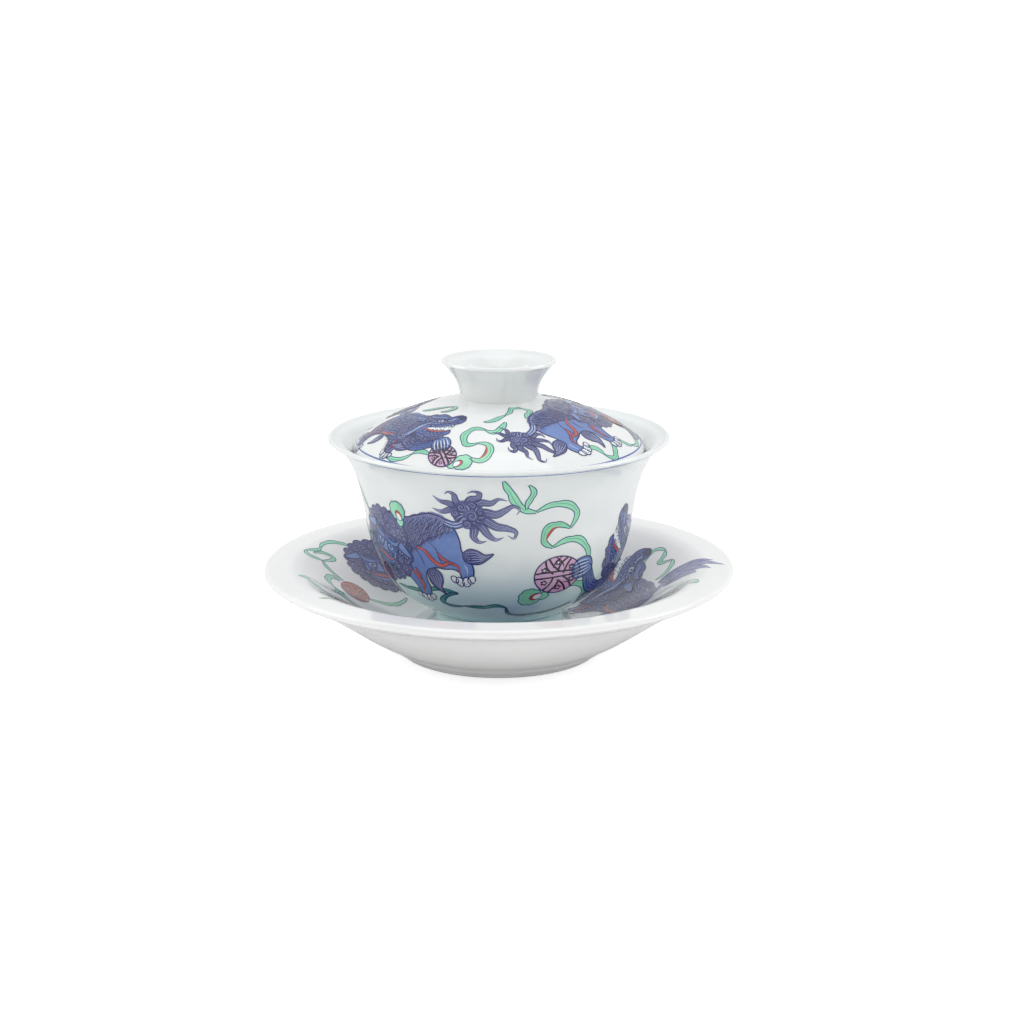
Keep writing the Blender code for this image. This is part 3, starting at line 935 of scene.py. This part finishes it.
def glazed_porcelain(name, white, cool, painted_shade_mm=(0, 0)):
    """White glaze that lacks some red, with a painted teal shade that darkens it low down.

    The painted shade is full below the first of the two heights given in millimetres, and gone above the
    second.
    """
    m = new_material(name)
    tone = m.ramp(m.noise(18.0),
                  [(0.3, (white - cool, white, white - 1)),
                   (0.7, (white + 4 - 0.6 * cool, white + 4, white + 3))])
    # Painted shade: the white is tinted darker and teal towards the bottom.
    if painted_shade_mm[1]:
        height = m.add("SeparateXYZ", {"Vector": m.place()}).outputs["Z"]
        fade = {"Value": height, "From Min": painted_shade_mm[0] * MM, "From Max": painted_shade_mm[1] * MM, "To Min": 1.0,
                "To Max": 0.0}
        painted_shade = m.add("MapRange", fade, interpolation_type="SMOOTHSTEP").outputs["Result"]
        tone = tinted(m, tone, painted_shade, PAINTED_SHADE_TINT, "MULTIPLY")
    return m.finish("Principled BSDF", Base_Color=tone, Roughness=m.fit(m.noise(6.0), 0.05, 0.10), IOR=1.52,
                    Coat_Weight=0.35, Coat_Roughness=0.03, Normal=m.bump(m.noise(14.0, 1.0), 0.05))


def bare_porcelain():
    m = new_material("bare_porcelain")
    tone = m.ramp(m.noise(0.8), [(0.3, (206, 190, 170)), (0.75, (232, 222, 208))])
    return m.finish("Principled BSDF", Base_Color=tone, Roughness=0.8, Normal=m.bump(m.noise(0.25), 0.03))


def enamel(name, rough, mottle, stops):
    """Paint whose colour follows the ink attribute, with the cloudiness of a brushed wash."""
    m = new_material(name)
    value = m.add("Attribute", attribute_name="ink").outputs["Fac"]
    for size_mm, depth in ((1.6, mottle), (0.22, mottle / 2)):
        cloud = m.fit(m.noise(size_mm), -depth, depth)
        value = m.add("Math", {0: value, 1: cloud}, operation="ADD").outputs["Value"]
    return m.finish("Principled BSDF", Base_Color=m.ramp(value, stops), Roughness=rough, IOR=1.5,
                    Coat_Weight=0.4, Coat_Roughness=0.05, Normal=m.bump(value, 0.02))


PAINTED_SHADE_TINT = (0.76, 1.04, 1.04, 1.0)      # the painted teal shade multiplies the white by this, low on the bowl
COBALT_SLOT = "cobalt_paint"
PAINTS = {                 # slot, roughness, mottle and colours from the thinnest wash to a loaded line
    "cobalt": (COBALT_SLOT, 0.12, 0.07, [
        (0.0, (178, 190, 222)), (0.3, (112, 140, 196)), (0.5, (74, 102, 166)), (0.72, (62, 68, 132)),
        (1.0, (36, 38, 86))]),
    "violet": (COBALT_SLOT, 0.12, 0.07, [(0.0, (160, 166, 206)), (0.5, (84, 90, 142)), (1.0, (46, 48, 100))]),
    "green": ("green_enamel", 0.10, 0.06, [
        (0.0, (186, 232, 208)), (0.45, (138, 212, 172)), (0.75, (72, 156, 134)), (1.0, (44, 84, 122))]),
    "red": ("red_enamel", 0.18, 0.08, [(0.0, (222, 150, 132)), (0.5, (182, 72, 56)), (1.0, (92, 38, 44))]),
    "pink": ("pink_enamel", 0.12, 0.06, [
        (0.0, (226, 196, 222)), (0.5, (202, 158, 194)), (1.0, (150, 104, 150))]),
    "black": ("black_enamel", 0.15, 0.05, [(0.0, (92, 84, 104)), (1.0, (26, 22, 36))]),
    "white": (None, 0.10, 0.05, [(0.0, (216, 224, 230)), (1.0, (236, 240, 242))]),
}


# ---------------- pieces

def add_object(name, data, place=(0, 0, 0), turn=(0, 0, 0)):
    thing = bpy.data.objects.new(name, data)
    thing.location = place
    thing.rotation_euler = turn
    bpy.context.scene.collection.objects.link(thing)
    return thing


def add_piece(name, mesh, body, materials):
    for material in materials:
        mesh.materials.append(material)
    piece = add_object(name, mesh)
    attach(piece, body)
    return piece


def turned_skin(node, outline, bare_below):
    """The outline turned into a closed porcelain skin that stands for its CAD node."""
    ring = outline[1:-1]
    angle = np.arange(TURNS) * 2 * pi / TURNS
    r, z = ring[:, :1], ring[:, 1:] + 0 * angle
    grid = np.stack([r * np.sin(angle), -r * np.cos(angle), z], -1).reshape(-1, 3)
    ends = [(0, 0, outline[0, 1]), (0, 0, outline[-1, 1])]
    verts = np.vstack([grid, ends]) * MM
    low, high, last = len(grid), len(grid) + 1, (len(ring) - 1) * TURNS
    faces = []
    for i in range(TURNS):
        j = (i + 1) % TURNS
        faces.append((low, j, i))
        faces += [(k + i, k + j, k + TURNS + j, k + TURNS + i) for k in range(0, last, TURNS)]
        faces.append((last + i, last + j, high))
    mesh = bpy.data.meshes.new(node + "_skin")
    mesh.from_pydata(verts.tolist(), [], faces)
    mesh.shade_smooth()
    mesh.set_sharp_from_angle(angle=radians(CORNER_DEG))
    foot = np.array([p.center[2] / MM < bare_below and abs(p.normal[2]) > 0.9 for p in mesh.polygons])
    mesh.polygons.foreach_set("material_index", foot.astype(np.int32))
    skin = add_piece(node + "_skin", mesh, node, [GLAZE[node], BARE])
    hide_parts(node)


def paint_pieces(canvas, ware):
    """One thin mesh for each paint on a canvas."""
    for paint, (slot, *_) in PAINTS.items():
        patches = [p for p in canvas.patches if p[0] == paint]
        if not patches:
            continue
        verts, faces, ink, start = [], [], [], 0
        for _, (angle, along), patch_faces, value, coat in patches:
            verts.append(canvas.skin.points(angle, along, PAINT_LIFT + COAT * coat))
            faces += [tuple(start + i for i in f) for f in patch_faces]
            ink.append(value)
            start += len(value)
        name = f"{ware}_{paint}"
        mesh = bpy.data.meshes.new(name)
        mesh.from_pydata(np.vstack(verts).tolist(), [], faces)
        mesh.shade_smooth()
        attribute = mesh.attributes.new("ink", "FLOAT", "POINT")
        attribute.data.foreach_set("value", np.concatenate(ink).astype(np.float32))
        add_piece(name, mesh, ware, [ENAMEL[paint]])


# One porcelain in three whites, as painted light and shade: the saucer lightest and most neutral, the lid a
# little darker, the bowl darkest and coolest.
GLAZE = {
    "saucer": glazed_porcelain("saucer_glaze", 230, 0),
    # The bowl's glaze carries a painted teal shade, full below 18 mm and gone above 42 mm.
    "bowl": glazed_porcelain("bowl_glaze", 227, 5, (18, 42)),
    "lid": glazed_porcelain("lid_glaze", 228, 3),
}
BARE = bare_porcelain()
ENAMEL = {paint: enamel(paint + "_enamel", *recipe) for paint, (_, *recipe) in PAINTS.items()}

for ware, decorate in (("saucer", paint_saucer), ("bowl", paint_bowl), ("lid", paint_lid)):
    outline = Section(ware).fine()
    turned_skin(ware, outline, BARE_BELOW[ware])
    canvas = Canvas(Skin(outline, *PAINTED[ware]), ware)
    decorate(canvas)
    paint_pieces(canvas, ware)


# ---------------- stage

def add_lamp(name, kind, place, aim, energy, **settings):
    light = bpy.data.lights.new(name, kind)
    light.energy = energy
    for key, value in settings.items():
        setattr(light, key, value)
    add_object(name, light, place, (Vector(aim) - Vector(place)).to_track_quat("-Z", "Y").to_euler())


def pale_floor(reach, glow, seen_glow):
    """A white floor that shines a little, more so to the camera, and is dimmer in reflections."""
    m = new_material("pale_floor")
    tone = m.ramp(m.noise(60.0), [(0.3, (252, 252, 252)), (0.7, (255, 255, 255))])
    rays = m.add("LightPath").outputs
    glow = m.fit(rays["Is Camera Ray"], glow, seen_glow)
    tone = tinted(m, tone, rays["Is Glossy Ray"], MIRRORED_FLOOR, "MIX")
    mesh = bpy.data.meshes.new("floor")
    corners = [(-reach, -2, 0), (reach, -2, 0), (reach, reach, 0), (-reach, reach, 0)]
    mesh.from_pydata(corners, [], [(0, 1, 2, 3)])
    mesh.materials.append(m.finish("Principled BSDF", Base_Color=tone, Roughness=0.7, Emission_Color=tone,
                                   Emission_Strength=glow))
    add_object("floor", mesh)


def white_surroundings(low, high, mirrored):
    """A white room as bright as low at the horizon, high overhead, and at least mirrored in the glaze."""
    w = Nodes(bpy.data.worlds.new("studio"))
    height = w.add("SeparateXYZ", {"Vector": w.add("TexCoord").outputs["Generated"]}).outputs["Z"]
    glossy = w.add("LightPath").outputs["Is Glossy Ray"]
    backdrop = w.add("Math", {0: glossy, 1: mirrored}, operation="MULTIPLY").outputs["Value"]
    light = w.add("Math", {0: w.fit(height, low, high), 1: backdrop}, operation="MAXIMUM").outputs["Value"]
    bpy.context.scene.world = w.finish("Background", Color=(0.985, 0.99, 1.0, 1.0), Strength=light)


def set_camera():
    lens = bpy.data.cameras.new("camera")
    lens.sensor_width = 36.0
    lens.lens = CAMERA_LENS
    lens.clip_start = 0.01
    bpy.context.scene.camera = add_object("camera", lens, CAMERA_PLACE, (radians(CAMERA_TILT_DEG), 0, 0))


CAMERA_PLACE = (0.00406, -0.6366, 0.2056)
CAMERA_TILT_DEG = 75.78                   # from straight down
CAMERA_LENS = 73.6
MIRRORED_FLOOR = srgb(216, 216, 216)      # the floor's colour in reflections

pale_floor(reach=60, glow=0.11, seen_glow=0.55)
white_surroundings(low=0.34, high=1.14, mirrored=0.88)
add_lamp("overhead", "SUN", (0, 0, 0), (0, 0.15, -1), 0.5, angle=radians(50))
for name, x in (("left_softbox", -0.8), ("right_softbox", 0.8)):
    add_lamp(name, "AREA", (x, 0, 0.5), (0, 0, 0.05), 1.8, shape="RECTANGLE", size=0.5, size_y=0.4)
set_camera()
bpy.context.scene.view_settings.view_transform = "Standard"
